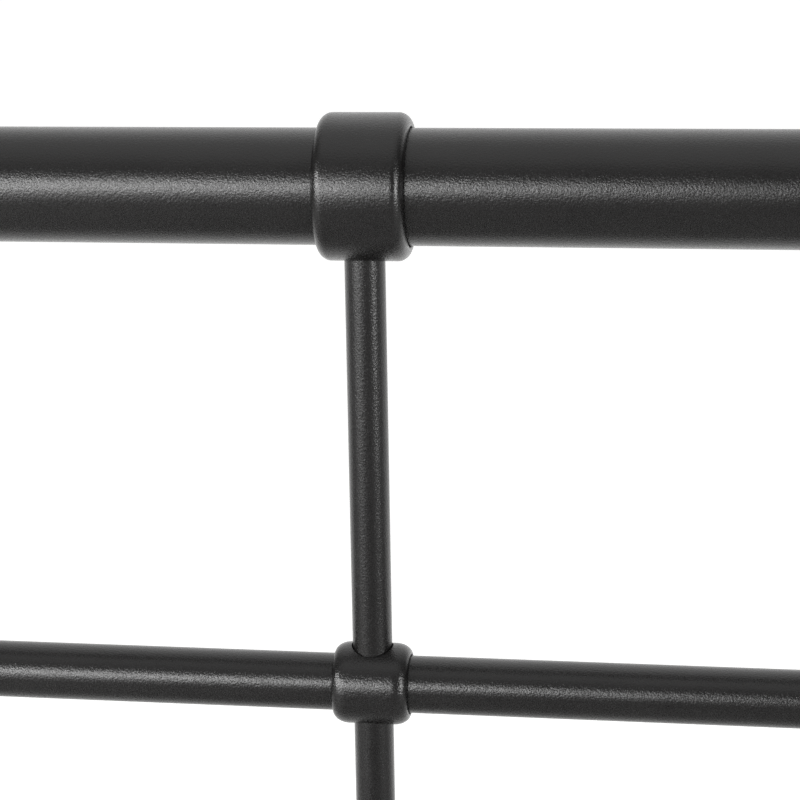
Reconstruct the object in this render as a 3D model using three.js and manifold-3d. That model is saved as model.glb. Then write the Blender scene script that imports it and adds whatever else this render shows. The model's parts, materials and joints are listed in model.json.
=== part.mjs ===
// Metal platform bed frame, queen size: headboard, footboard, side rails, centre beam and slats.
//
// Millimetres, +Z up. The origin lies on the floor under the middle of the bed.
// X runs across the bed, and Y along it, with the headboard at +Y.
// Every sub-part is one named mesh. Neighbours that touch keep FACE_GAP between them.

import * as THREE from 'three';
import { mergeVertices } from 'three/addons/utils/BufferGeometryUtils.js';
import Module from 'manifold-3d';

const wasm = await Module();
wasm.setup();

// ---------------------------------------------------------------- driving dimensions

const MATTRESS_WIDTH = 1524;
const MATTRESS_LENGTH = 2032;
const MATTRESS_END_PLAY = 5;       // between the mattress and the collars at each end
const MATTRESS_SIDE_PLAY = 6;      // between the mattress and the rail brackets at each side

const DECK_HEIGHT = 313;           // underside of the slats above the floor
const HEADBOARD_HEIGHT = 1100;     // axis of the headboard's top rail
const FOOTBOARD_HEIGHT = 520;      // axis of the footboard's top rail
const RAIL_SPACING = 171;          // headboard: axis of the top rail to axis of the middle rail
const HOOP_BEND = 120;             // bend radius of the hoops, at the tube's axis

const HOOP_TUBE = 38;              // outer diameters, over the coat
const RAIL_TUBE = 19.3;
const SPINDLE_TUBE = 13.4;
const LEG_TUBE = 28;
const HOOP_WALL = 1.6;             // walls
const RAIL_WALL = 1.4;
const SPINDLE_WALL = 1.2;
const LEG_WALL = 1.6;

const SPINDLE_COUNT = 4;           // in each board
const SPINDLE_SOCKET = 7;          // how far a spindle's end goes into the tube that holds it

const TOP_COLLAR_WALL = 4.5;
const TOP_COLLAR_LENGTH = 29.7;
const TOP_COLLAR_ROUND = 4.2;      // rounding of its ends
const SMALL_COLLAR_WALL = 3.6;
const SMALL_COLLAR_LENGTH = 25.8;
const SMALL_COLLAR_ROUND = 3.4;
const COLLAR_CLEARANCE = 0.5;      // between a collar's bore and its tube, on the radius
const COLLAR_LIP = 0.2;            // least flat end between a collar's bore and its rounding

const FACE_GAP = 0.3;              // between faces that touch or are welded
const HOLE_CLEARANCE = 0.4;        // between a spindle and its hole, on the radius

const SIDE_RAIL_HEIGHT = 45;       // steel angle, ledge at the bottom
const SIDE_RAIL_LEDGE = 40;
const SIDE_RAIL_THICKNESS = 3;
const SIDE_RAIL_BEND = 4;          // outer radius of the fold
const SIDE_RAIL_END_GAP = 3;       // between the rail's end and the post

const BRACKET_LENGTH = 72;
const BRACKET_THICKNESS = 3;
const BRACKET_HEIGHT = 38;
const BRACKET_CORNER = 5;
const BOLT_HOLE = 8.6;
const BOLT_PITCH = 32;
const BOLT_SETBACK = 24;           // first bolt from the post's end of the bracket

const SLAT_COUNT = 12;
const SLAT_WIDTH = 50;
const SLAT_HEIGHT = 15;
const SLAT_SHEET = 1.5;
const SLAT_END_PLAY = 1.2;         // between a slat's end and the rail bracket
const SLAT_BEND = 3;               // outer radius of the slat's folds

const BEAM_WIDTH = 30;
const BEAM_HEIGHT = 40;
const BEAM_WALL = 1.5;
const HANGER_WIDTH = 26;
const HANGER_THICKNESS = 3;
const HANGER_SEAT = 36;

const LEG_COUNT = 2;
const LEG_FLANGE_DIAMETER = 54;
const LEG_FLANGE_THICKNESS = 4;
const PLUG_DEPTH = 24;             // of the plugs in the legs
const PLUG_RIM = 4;
const STEM_DIAMETER = 8;
const STEM_LENGTH = 40;
const FOOT_DIAMETER = 40;
const FOOT_HEIGHT = 9;
const FOOT_EDGE = 1;               // chamfer round its sole
const FOOT_SHOULDER = 3;           // width of the slope round its top
const FOOT_SHOULDER_HEIGHT = 4;
const FOOT_TRAVEL = 12;            // how far a levelling foot screws in from where it stands

const GLIDE_HEIGHT = 8;            // of the glide under each post
const GLIDE_FLARE = 1.5;           // how far it stands out past the post, on the radius
const GLIDE_PLUG = 22;

const TUBE_SIDES = 20;
const SMALL_SIDES = 12;
const BEND_STEPS = 6;
const ROUND_STEPS = 2;             // facets in each collar's rounding

// ---------------------------------------------------------------- derived places

const bracketInner = MATTRESS_WIDTH / 2 + MATTRESS_SIDE_PLAY;
const bracketOuter = bracketInner + BRACKET_THICKNESS;
const railInner = bracketOuter + FACE_GAP;                  // inner face of the upright flange
const railOuter = railInner + SIDE_RAIL_THICKNESS;
const postX = (railInner + railOuter) / 2;
const hoopRadius = HOOP_TUBE / 2;
const topCollarRadius = hoopRadius + COLLAR_CLEARANCE + TOP_COLLAR_WALL;
const boardY = MATTRESS_LENGTH / 2 + MATTRESS_END_PLAY + topCollarRadius;
const railRadius = RAIL_TUBE / 2;
const spindleRadius = SPINDLE_TUBE / 2;
const beamBottom = DECK_HEIGHT - BEAM_HEIGHT;
const lowerRailZ = DECK_HEIGHT - BEAM_HEIGHT / 2;
const middleRailZ = HEADBOARD_HEIGHT - RAIL_SPACING;
const postBottom = GLIDE_HEIGHT + FACE_GAP;
const spindlePitch = (2 * postX) / (SPINDLE_COUNT + 1);

// ---------------------------------------------------------------- materials

const steel = (color) => new THREE.MeshStandardMaterial({ color, roughness: 0.42, metalness: 0.15 });
const plastic = (color) => new THREE.MeshStandardMaterial({ color, roughness: 0.6, metalness: 0 });
const zinc = (color) => new THREE.MeshStandardMaterial({ color, roughness: 0.35, metalness: 0.9 });

const BLACK_COAT = '#2f2d2e';
const BLACK_PLASTIC = '#1c1c1d';
const ZINC = '#b9bcc0';

// ---------------------------------------------------------------- helpers

const bed = new THREE.Group();

function place(name, geometry, material, parent = bed) {
  const mesh = new THREE.Mesh(geometry, material);
  mesh.name = name;
  parent.add(mesh);
  return mesh;
}

function toManifold(geometry) {
  const bare = geometry.clone();
  bare.deleteAttribute('normal');
  bare.deleteAttribute('uv');
  const merged = mergeVertices(bare, 1e-3);
  return new wasm.Manifold(new wasm.Mesh({
    numProp: 3,
    vertProperties: new Float32Array(merged.attributes.position.array),
    triVerts: new Uint32Array(merged.index.array),
  }));
}

function toGeometry(solid) {
  const mesh = solid.getMesh();
  const geometry = new THREE.BufferGeometry();
  geometry.setAttribute('position', new THREE.BufferAttribute(new Float32Array(mesh.vertProperties), 3));
  geometry.setIndex(new THREE.BufferAttribute(new Uint32Array(mesh.triVerts), 1));
  geometry.computeVertexNormals();
  return geometry;
}

function cut(geometry, tools) {
  return toGeometry(tools.reduce((solid, tool) => solid.subtract(toManifold(tool)), toManifold(geometry)));
}

// A round bar centred at a point along 'x', 'y' or 'z': the tool for holes and copes.
function bar(radius, length, axis, [x, y, z], sides = TUBE_SIDES) {
  const geometry = new THREE.CylinderGeometry(radius, radius, length, sides);
  if (axis === 'x') geometry.rotateZ(Math.PI / 2);
  if (axis === 'z') geometry.rotateX(Math.PI / 2);
  return geometry.translate(x, y, z);
}

// A closed profile of [radius, height] points turned about Z.
function turned(points, sides) {
  return new THREE.LatheGeometry(points.map(([r, h]) => new THREE.Vector2(r, h)), sides).rotateX(Math.PI / 2);
}

// A straight open tube along Z, from z = bottom to z = top.
function tube(diameter, wall, bottom, top, sides = SMALL_SIDES) {
  const outer = diameter / 2;
  const inner = outer - wall;
  return turned([[inner, bottom], [outer, bottom], [outer, top], [inner, top], [inner, bottom]], sides);
}

// A sheet outline pushed along Y or X, from a shape drawn across it.
function pushed(shape, length, curveSegments = 3) {
  return new THREE.ExtrudeGeometry(shape, { depth: length, bevelEnabled: false, curveSegments });
}

// ---------------------------------------------------------------- hoops

// The axis of a hoop: up one post, round a bend, across, round a bend and down the other post.
// Its stations stand only where the direction changes, so straight stretches take one step.
class HoopAxis extends THREE.Curve {
  constructor(halfWidth, height, bend, bottom, steps) {
    super();
    const angles = Array.from({ length: steps + 1 }, (_, i) => (i / steps) * (Math.PI / 2));
    const left = angles.map((a) => ({
      point: new THREE.Vector3(-halfWidth + bend * (1 - Math.cos(a)), 0, height - bend * (1 - Math.sin(a))),
      tangent: new THREE.Vector3(Math.sin(a), 0, Math.cos(a)),
    }));
    const right = left.map(({ point, tangent }) => ({
      point: new THREE.Vector3(-point.x, 0, point.z),
      tangent: new THREE.Vector3(tangent.x, 0, -tangent.z),
    })).reverse();
    const foot = (side) => ({
      point: new THREE.Vector3(side * halfWidth, 0, bottom),
      tangent: new THREE.Vector3(0, 0, -side),
    });
    this.stations = [foot(-1), ...left, ...right, foot(1)];
  }

  station(u) {
    return this.stations[Math.round(u * (this.stations.length - 1))];
  }

  getPoint(u, target = new THREE.Vector3()) {
    return target.copy(this.station(u).point);
  }

  getPointAt(u, target) {
    return this.getPoint(u, target);
  }

  getTangentAt(u, target = new THREE.Vector3()) {
    return target.copy(this.station(u).tangent);
  }
}

function circle(radius, sides, Kind = THREE.Shape) {
  const points = Array.from({ length: sides }, (_, i) => {
    const angle = (2 * Math.PI * i) / sides;
    return new THREE.Vector2(radius * Math.cos(angle), radius * Math.sin(angle));
  });
  return new Kind(points);
}

function hoop(height) {
  const axis = new HoopAxis(postX, height, HOOP_BEND, postBottom, BEND_STEPS);
  const section = circle(hoopRadius, TUBE_SIDES);
  section.holes.push(circle(hoopRadius - HOOP_WALL, TUBE_SIDES, THREE.Path));
  const blank = new THREE.ExtrudeGeometry(section, { steps: axis.stations.length - 1, extrudePath: axis });
  const drill = spindlePlaces().map((x) => bar(
    spindleRadius + HOLE_CLEARANCE, HOOP_TUBE, 'z', [x, 0, height - hoopRadius], SMALL_SIDES));
  return cut(blank, drill);
}

function spindlePlaces() {
  return Array.from({ length: SPINDLE_COUNT }, (_, i) => -postX + spindlePitch * (i + 1));
}

// ---------------------------------------------------------------- rails, spindles and collars

// A horizontal rail between the posts: its ends are coped round them, and it is drilled for the spindles.
// Where the spindles stop in the rail only its upper wall is drilled.
function crossRail(z, drilledThrough) {
  const blank = tube(RAIL_TUBE, RAIL_WALL, -postX, postX, TUBE_SIDES).rotateY(Math.PI / 2).translate(0, 0, z);
  const copes = [-1, 1].map((side) => bar(
    hoopRadius + FACE_GAP, 4 * RAIL_TUBE, 'z', [side * postX, 0, z]));
  const drillLength = 2 * RAIL_TUBE;
  const drillZ = drilledThrough ? z : z + drillLength / 2;
  const drills = spindlePlaces().map((x) => bar(
    spindleRadius + HOLE_CLEARANCE, drillLength, 'z', [x, 0, drillZ], SMALL_SIDES));
  return cut(blank, [...copes, ...drills]);
}

// A sleeve on a tube along X with rounded ends. Spindles enter it from above, from below or both.
function collar({ tubeDiameter, wall, length, round, above, below }) {
  const bore = tubeDiameter / 2 + COLLAR_CLEARANCE;
  const outer = bore + wall;
  const half = length / 2;
  const bend = Math.min(round, wall - COLLAR_LIP);
  const roundEnd = (side) => Array.from({ length: ROUND_STEPS + 1 }, (_, i) => {
    const angle = (i / ROUND_STEPS) * (Math.PI / 2);
    const turn = side < 0 ? angle : Math.PI / 2 - angle;
    return [outer - bend * (1 - Math.sin(turn)), side * (half - bend * (1 - Math.cos(turn)))];
  });
  const profile = [[bore, -half], ...roundEnd(-1), ...roundEnd(1), [bore, half], [bore, -half]];
  const sleeve = turned(profile, TUBE_SIDES).rotateY(Math.PI / 2);
  const drills = [];
  if (above) drills.push(bar(spindleRadius + HOLE_CLEARANCE, 2 * outer, 'z', [0, 0, outer], SMALL_SIDES));
  if (below) drills.push(bar(spindleRadius + HOLE_CLEARANCE, 2 * outer, 'z', [0, 0, -outer], SMALL_SIDES));
  return cut(sleeve, drills);
}

const topCollar = {
  tubeDiameter: HOOP_TUBE,
  wall: TOP_COLLAR_WALL,
  length: TOP_COLLAR_LENGTH,
  round: TOP_COLLAR_ROUND,
  above: false,
  below: true,
};

const smallCollar = {
  tubeDiameter: RAIL_TUBE,
  wall: SMALL_COLLAR_WALL,
  length: SMALL_COLLAR_LENGTH,
  round: SMALL_COLLAR_ROUND,
  above: true,
  below: true,
};

// ---------------------------------------------------------------- headboard and footboard

function board(name, side, topZ, rails, smallCollars) {
  const group = new THREE.Group();
  group.position.y = side * boardY;
  bed.add(group);

  place(`${name}_hoop`, hoop(topZ), steel(BLACK_COAT), group);
  for (const { label, z, through } of rails) {
    place(`${name}_${label}`, crossRail(z, through), steel(BLACK_COAT), group);
  }

  const spindleTop = topZ - hoopRadius + SPINDLE_SOCKET;
  const spindleBottom = lowerRailZ + railRadius - SPINDLE_SOCKET;
  spindlePlaces().forEach((x, i) => {
    const spindle = tube(SPINDLE_TUBE, SPINDLE_WALL, spindleBottom, spindleTop);
    place(`${name}_spindle_${i + 1}`, spindle, steel(BLACK_COAT), group).position.x = x;
    place(`${name}_top_collar_${i + 1}`, collar(topCollar), steel(BLACK_COAT), group)
      .position.set(x, 0, topZ);
    place(`${name}_${smallCollars.label}_${i + 1}`, collar({ ...smallCollar, ...smallCollars }),
      steel(BLACK_COAT), group).position.set(x, 0, smallCollars.z);
  });

  [-1, 1].forEach((edge) => {
    const glideName = `${name}_glide_${edge < 0 ? 'left' : 'right'}`;
    place(glideName, postGlide(), plastic(BLACK_PLASTIC), group).position.x = edge * postX;
  });
}

// A plastic plug under a post: a rim that stands on the floor, and a stub up inside the tube.
function postGlide() {
  const rim = hoopRadius + GLIDE_FLARE;
  const stub = hoopRadius - HOOP_WALL - FACE_GAP;
  const sole = rim - GLIDE_FLARE;
  return turned([
    [0, 0], [sole, 0], [rim, GLIDE_FLARE], [rim, GLIDE_HEIGHT - GLIDE_FLARE],
    [sole, GLIDE_HEIGHT], [stub, GLIDE_HEIGHT], [stub, GLIDE_HEIGHT + GLIDE_PLUG],
    [0, GLIDE_HEIGHT + GLIDE_PLUG],
  ], TUBE_SIDES);
}

// ---------------------------------------------------------------- side rails and their brackets

const ledgeTop = DECK_HEIGHT;
const ledgeBottom = ledgeTop - SIDE_RAIL_THICKNESS;
const railHalfLength = boardY - hoopRadius - SIDE_RAIL_END_GAP;
const bracketBottom = ledgeTop + FACE_GAP;
const bracketEndY = boardY - hoopRadius - FACE_GAP;
const boltZ = bracketBottom + BRACKET_HEIGHT / 2;
const boltPlaces = [BOLT_SETBACK, BOLT_SETBACK + BOLT_PITCH].map((back) => bracketEndY - back);

// The right-hand rail: an angle whose ledge points to the middle of the bed.
function sideRail() {
  const shape = new THREE.Shape();
  const top = ledgeBottom + SIDE_RAIL_HEIGHT;
  const tip = railOuter - SIDE_RAIL_LEDGE;
  shape.moveTo(tip, ledgeBottom);
  shape.lineTo(railOuter - SIDE_RAIL_BEND, ledgeBottom);
  shape.absarc(railOuter - SIDE_RAIL_BEND, ledgeBottom + SIDE_RAIL_BEND, SIDE_RAIL_BEND, -Math.PI / 2, 0);
  shape.lineTo(railOuter, top);
  shape.lineTo(railInner, top);
  shape.lineTo(railInner, ledgeTop);
  shape.lineTo(tip, ledgeTop);
  shape.closePath();
  const angle = pushed(shape, 2 * railHalfLength).rotateX(Math.PI / 2).translate(0, railHalfLength, 0);
  const drills = [-1, 1].flatMap((end) => boltPlaces.map((y) => bar(
    BOLT_HOLE / 2, 4 * SIDE_RAIL_THICKNESS, 'x', [postX, end * y, boltZ], SMALL_SIDES)));
  return cut(angle, drills);
}

// A plate welded to the post, with the rail bolted against its outer face.
function bracket() {
  const shape = new THREE.Shape();
  const start = bracketEndY - BRACKET_LENGTH;
  const cornerY = start + BRACKET_CORNER;
  const top = bracketBottom + BRACKET_HEIGHT;
  shape.moveTo(bracketEndY, bracketBottom);
  shape.lineTo(bracketEndY, top);
  shape.lineTo(cornerY, top);
  shape.absarc(cornerY, top - BRACKET_CORNER, BRACKET_CORNER, Math.PI / 2, Math.PI);
  shape.lineTo(start, bracketBottom + BRACKET_CORNER);
  shape.absarc(cornerY, bracketBottom + BRACKET_CORNER, BRACKET_CORNER, Math.PI, 1.5 * Math.PI);
  shape.closePath();
  const plate = pushed(shape, BRACKET_THICKNESS);
  plate.rotateX(Math.PI / 2).rotateZ(Math.PI / 2).translate(bracketInner, 0, 0);
  return cut(plate, boltPlaces.map((y) => bar(
    BOLT_HOLE / 2, 4 * BRACKET_THICKNESS, 'x', [bracketInner, y, boltZ], SMALL_SIDES)));
}

// ---------------------------------------------------------------- slats

const slatHalfLength = bracketInner - SLAT_END_PLAY;
const slatBottom = DECK_HEIGHT + FACE_GAP;

// A folded steel channel, open below.
function slat() {
  const shape = new THREE.Shape();
  const half = SLAT_WIDTH / 2;
  const top = slatBottom + SLAT_HEIGHT;
  const inner = half - SLAT_SHEET;
  const innerTop = top - SLAT_SHEET;
  const innerBend = SLAT_BEND - SLAT_SHEET;
  shape.moveTo(half, slatBottom);
  shape.lineTo(half, top - SLAT_BEND);
  shape.absarc(half - SLAT_BEND, top - SLAT_BEND, SLAT_BEND, 0, Math.PI / 2);
  shape.lineTo(-half + SLAT_BEND, top);
  shape.absarc(-half + SLAT_BEND, top - SLAT_BEND, SLAT_BEND, Math.PI / 2, Math.PI);
  shape.lineTo(-half, slatBottom);
  shape.lineTo(-inner, slatBottom);
  shape.lineTo(-inner, innerTop - innerBend);
  shape.absarc(-half + SLAT_BEND, top - SLAT_BEND, innerBend, Math.PI, Math.PI / 2, true);
  shape.lineTo(inner - innerBend, innerTop);
  shape.absarc(half - SLAT_BEND, top - SLAT_BEND, innerBend, Math.PI / 2, 0, true);
  shape.lineTo(inner, slatBottom);
  shape.closePath();
  return pushed(shape, 2 * slatHalfLength).rotateX(Math.PI / 2).rotateZ(Math.PI / 2)
    .translate(-slatHalfLength, 0, 0);
}

// ---------------------------------------------------------------- centre beam, hangers, legs and feet

const hangerReach = railRadius + FACE_GAP + HANGER_THICKNESS;
const beamHalfLength = boardY - hangerReach - FACE_GAP;

function centreBeam() {
  const rectangle = (width, height, Kind) => new Kind([[-1, -1], [1, -1], [1, 1], [-1, 1]].map(
    ([x, z]) => new THREE.Vector2(x * width / 2, z * height / 2)));
  const section = rectangle(BEAM_WIDTH, BEAM_HEIGHT, THREE.Shape);
  section.holes.push(rectangle(BEAM_WIDTH - 2 * BEAM_WALL, BEAM_HEIGHT - 2 * BEAM_WALL, THREE.Path));
  return pushed(section, 2 * beamHalfLength).rotateX(Math.PI / 2)
    .translate(0, beamHalfLength, beamBottom + BEAM_HEIGHT / 2);
}

// A strap at the headboard's end: it hooks over the lower rail, drops in front of it
// and turns in under the beam. Its outline is drawn across the bed's length.
function beamHanger() {
  const shape = new THREE.Shape();
  const inner = railRadius + FACE_GAP;
  const seatTop = beamBottom - FACE_GAP;
  const seatBottom = seatTop - HANGER_THICKNESS;
  const front = boardY - inner;
  shape.moveTo(boardY + inner, lowerRailZ);
  shape.lineTo(boardY + hangerReach, lowerRailZ);
  shape.absarc(boardY, lowerRailZ, hangerReach, 0, Math.PI);
  shape.lineTo(front - HANGER_THICKNESS, seatTop);
  shape.lineTo(front - HANGER_SEAT, seatTop);
  shape.lineTo(front - HANGER_SEAT, seatBottom);
  shape.lineTo(front, seatBottom);
  shape.lineTo(front, lowerRailZ);
  shape.absarc(boardY, lowerRailZ, inner, Math.PI, 0, true);
  shape.closePath();
  return pushed(shape, HANGER_WIDTH, SMALL_SIDES / 2).rotateX(Math.PI / 2).rotateZ(Math.PI / 2)
    .translate(-HANGER_WIDTH / 2, 0, 0);
}

const legTop = beamBottom - FACE_GAP;
const plugSeat = FOOT_HEIGHT + FOOT_TRAVEL + FACE_GAP;      // underside of the plug's rim
const legBottom = plugSeat + PLUG_RIM + FACE_GAP;

function centreLeg() {
  const outer = LEG_TUBE / 2;
  const inner = outer - LEG_WALL;
  const flange = LEG_FLANGE_DIAMETER / 2;
  const neck = legTop - LEG_FLANGE_THICKNESS;
  return turned([
    [inner, legBottom], [outer, legBottom], [outer, neck], [flange, neck],
    [flange, legTop], [inner, legTop], [inner, legBottom],
  ], TUBE_SIDES);
}

// The threaded plug in the leg's lower end.
function legPlug() {
  const rim = LEG_TUBE / 2;
  const stub = LEG_TUBE / 2 - LEG_WALL - FACE_GAP;
  const bore = STEM_DIAMETER / 2 + FACE_GAP;
  const shoulder = plugSeat + PLUG_RIM;
  const top = shoulder + PLUG_DEPTH;
  return turned([
    [bore, plugSeat], [rim, plugSeat], [rim, shoulder], [stub, shoulder],
    [stub, top], [bore, top], [bore, plugSeat],
  ], SMALL_SIDES);
}

// A pad on a threaded stem.
function levellingFoot() {
  const pad = FOOT_DIAMETER / 2;
  const shoulder = pad - FOOT_SHOULDER;
  const stem = STEM_DIAMETER / 2;
  return turned([
    [0, 0], [pad - FOOT_EDGE, 0], [pad, FOOT_EDGE], [pad, FOOT_HEIGHT - FOOT_SHOULDER_HEIGHT],
    [shoulder, FOOT_HEIGHT],
    [stem, FOOT_HEIGHT], [stem, FOOT_HEIGHT + STEM_LENGTH], [0, FOOT_HEIGHT + STEM_LENGTH],
  ], SMALL_SIDES);
}

// ---------------------------------------------------------------- assembly

board('headboard', 1, HEADBOARD_HEIGHT, [
  { label: 'middle_rail', z: middleRailZ, through: true },
  { label: 'lower_rail', z: lowerRailZ, through: false },
], { label: 'middle_collar', z: middleRailZ, above: true, below: true });

board('footboard', -1, FOOTBOARD_HEIGHT, [
  { label: 'lower_rail', z: lowerRailZ, through: false },
], { label: 'lower_collar', z: lowerRailZ, above: true, below: false });

// Left pieces are the right ones turned half round about Z, which also swaps head and foot.
// Where only one of the two is wanted, the bracket is also turned over about its own middle height.
for (const [edge, edgeLabel] of [[1, 'right'], [-1, 'left']]) {
  place(`side_rail_${edgeLabel}`, sideRail(), steel(BLACK_COAT)).rotation.z = edge > 0 ? 0 : Math.PI;
  for (const [end, endLabel] of [[1, 'head'], [-1, 'foot']]) {
    const corner = place(`rail_bracket_${endLabel}_${edgeLabel}`, bracket(), steel(BLACK_COAT));
    const turnedOver = end !== edge;
    corner.rotation.set(turnedOver ? Math.PI : 0, 0, edge > 0 ? 0 : Math.PI);
    corner.position.z = turnedOver ? 2 * boltZ : 0;
  }
}
for (const [end, endLabel] of [[1, 'head'], [-1, 'foot']]) {
  place(`beam_hanger_${endLabel}`, beamHanger(), steel(BLACK_COAT)).rotation.z = end > 0 ? 0 : Math.PI;
}

const slatPitch = MATTRESS_LENGTH / SLAT_COUNT;
for (let i = 0; i < SLAT_COUNT; i += 1) {
  const y = MATTRESS_LENGTH / 2 - slatPitch * (i + 0.5);
  place(`slat_${i + 1}`, slat(), steel(BLACK_COAT)).position.y = y;
}

place('centre_beam', centreBeam(), steel(BLACK_COAT));
for (let i = 0; i < LEG_COUNT; i += 1) {
  const y = MATTRESS_LENGTH / (LEG_COUNT + 1) * (LEG_COUNT / 2 - i - 0.5);
  const group = new THREE.Group();
  group.position.y = y;
  bed.add(group);
  place(`centre_leg_${i + 1}`, centreLeg(), steel(BLACK_COAT), group);
  place(`leg_plug_${i + 1}`, legPlug(), plastic(BLACK_PLASTIC), group);
  place(`levelling_foot_${i + 1}`, levellingFoot(), zinc(ZINC), group);
}

export default bed;
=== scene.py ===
"""A queen-size tubular steel bed frame, laid out as a Blender add-on and run as a script.

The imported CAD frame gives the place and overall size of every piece. Each operator rebuilds one
group of its nodes as fine meshes with their finish, or adds welds and fasteners between them.
"""

import json
import math
from collections import namedtuple

import bmesh
import bpy
from bpy.props import FloatProperty, IntProperty, PointerProperty, StringProperty
from bpy.types import Operator, Panel, PropertyGroup
from mathutils import Euler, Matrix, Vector


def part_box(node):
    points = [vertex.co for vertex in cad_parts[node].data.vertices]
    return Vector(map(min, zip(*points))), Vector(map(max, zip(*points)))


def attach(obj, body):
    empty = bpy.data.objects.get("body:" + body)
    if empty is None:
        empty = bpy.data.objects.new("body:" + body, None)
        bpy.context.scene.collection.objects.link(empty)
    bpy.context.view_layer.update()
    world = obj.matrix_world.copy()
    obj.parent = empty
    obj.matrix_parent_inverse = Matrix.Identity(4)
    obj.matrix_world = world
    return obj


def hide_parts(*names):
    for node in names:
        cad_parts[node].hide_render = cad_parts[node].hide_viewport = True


bl_info = {
    "name": "Tubular Bed Frame",
    "version": (1, 0, 0),
    "blender": (4, 5, 0),
    "location": "3D View > Sidebar > Bed Frame",
    "description": "Builds a tubular steel bed frame on its CAD frame",
    "category": "Object",
}

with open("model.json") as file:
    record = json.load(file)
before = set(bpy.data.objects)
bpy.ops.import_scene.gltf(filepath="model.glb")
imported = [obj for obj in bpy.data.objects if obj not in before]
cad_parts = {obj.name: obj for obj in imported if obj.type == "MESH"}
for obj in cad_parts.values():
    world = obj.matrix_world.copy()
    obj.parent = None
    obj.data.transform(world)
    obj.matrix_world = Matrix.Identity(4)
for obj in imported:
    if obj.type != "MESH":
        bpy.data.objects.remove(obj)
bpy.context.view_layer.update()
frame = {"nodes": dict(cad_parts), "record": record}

MM = 0.001
FULL_TURN = 2 * math.pi
QUARTER_TURN = math.pi / 2
MERGE_DISTANCE = 0.002 * MM
BOARDS = ("headboard", "footboard")
VIEWED_SPINDLE = 3  # the headboard spindle in front of the camera
FLOOR_REACH = 150.0  # far enough that its edge is never in view
ROOM_GLOW = 0.13  # light of the dim room, before its backdrop and ceiling


# ------------------------------------------------------------------ places read from the frame

Hoop = namedtuple("Hoop", "radius post_x y top bottom")


def size_of(node):
    low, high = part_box(node)
    return high - low


def centre_of(node):
    low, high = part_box(node)
    return (low + high) / 2


def hoop_of(board):
    low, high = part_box(f"{board}_hoop")
    radius = (high.y - low.y) / 2
    return Hoop(radius, high.x - radius, (low.y + high.y) / 2, high.z - radius, low.z)


def nodes_like(start):
    return sorted(name for name in frame["nodes"] if name.startswith(start))


def spindle_places(board):
    return sorted(centre_of(node).x for node in nodes_like(f"{board}_spindle_"))


# ------------------------------------------------------------------ settings


def length(name, description, default):
    """A length property, with its default given in millimetres."""
    return FloatProperty(name=name, description=description, default=default * MM, unit="LENGTH", precision=5)


def tilt(name, description, degrees):
    """An angle property, with its default given in degrees."""
    return FloatProperty(name=name, description=description, default=math.radians(degrees), subtype="ANGLE")


class BedTubeSettings(PropertyGroup):
    """Walls and bends of the tubes. Their outer sizes come from the frame."""

    hoop_wall: length("Hoop wall", "Wall of the tube that forms posts and top rail", 1.6)
    rail_wall: length("Rail wall", "Wall of the middle and lower rails", 1.4)
    spindle_wall: length("Spindle wall", "Wall of the spindles", 1.2)
    leg_wall: length("Leg wall", "Wall of the centre legs", 1.6)
    beam_wall: length("Beam wall", "Wall of the centre beam", 1.5)
    beam_corner: length("Beam corner", "Outer corner radius of the centre beam", 3.0)
    bend_radius: length("Hoop bend", "Bend radius of the hoops, at the tube's axis", 120.0)
    bend_steps: IntProperty(name="Bend steps", description="Rings along each hoop bend", default=28, min=4)
    sides: IntProperty(name="Tube sides", description="Flats round a tube", default=72, min=12)


class BedCollarSettings(PropertyGroup):
    """Shape of the sleeves where the tubes cross."""

    top_rounding: length("Top collar rounding", "Radius at the ends of the top rail's collars", 4.2)
    top_drift: length("Top collar drift", "How far the top collars sit off their spindles' axes", 0.8)
    small_rounding: length("Small collar rounding", "Depth of the barrel shape at each end", 3.45)
    small_swell: length("Small collar swell", "Length of the barrel shape at each end", 5.4)
    bore_gap: length("Bore gap", "Gap between a collar's bore and its tube, on the radius", 0.5)
    hole_gap: length("Hole gap", "Gap between a spindle and its hole, on the radius", 0.4)
    mouth: length("Bore mouth", "Break of the edge at each end of the bore", 0.3)


class BedSheetSettings(PropertyGroup):
    """Folded and cut sheet: side rails, brackets, slats and hangers."""

    rail_sheet: length("Side rail sheet", "Thickness of the side rails", 3.0)
    rail_fold: length("Side rail fold", "Outer radius of the side rails' fold", 4.0)
    slat_sheet: length("Slat sheet", "Thickness of the slats", 1.5)
    slat_fold: length("Slat fold", "Outer radius of the slats' folds", 3.0)
    bracket_corner: length("Bracket corner", "Corner radius of the rail brackets", 5.0)
    hanger_sheet: length("Hanger sheet", "Thickness of the beam hangers", 3.0)
    cut_edge: length("Cut edge", "Rounding that the coat leaves on cut edges", 0.6)
    plate_edge: length("Plate edge", "Rounding round the brackets' and hangers' faces", 0.4)


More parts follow.
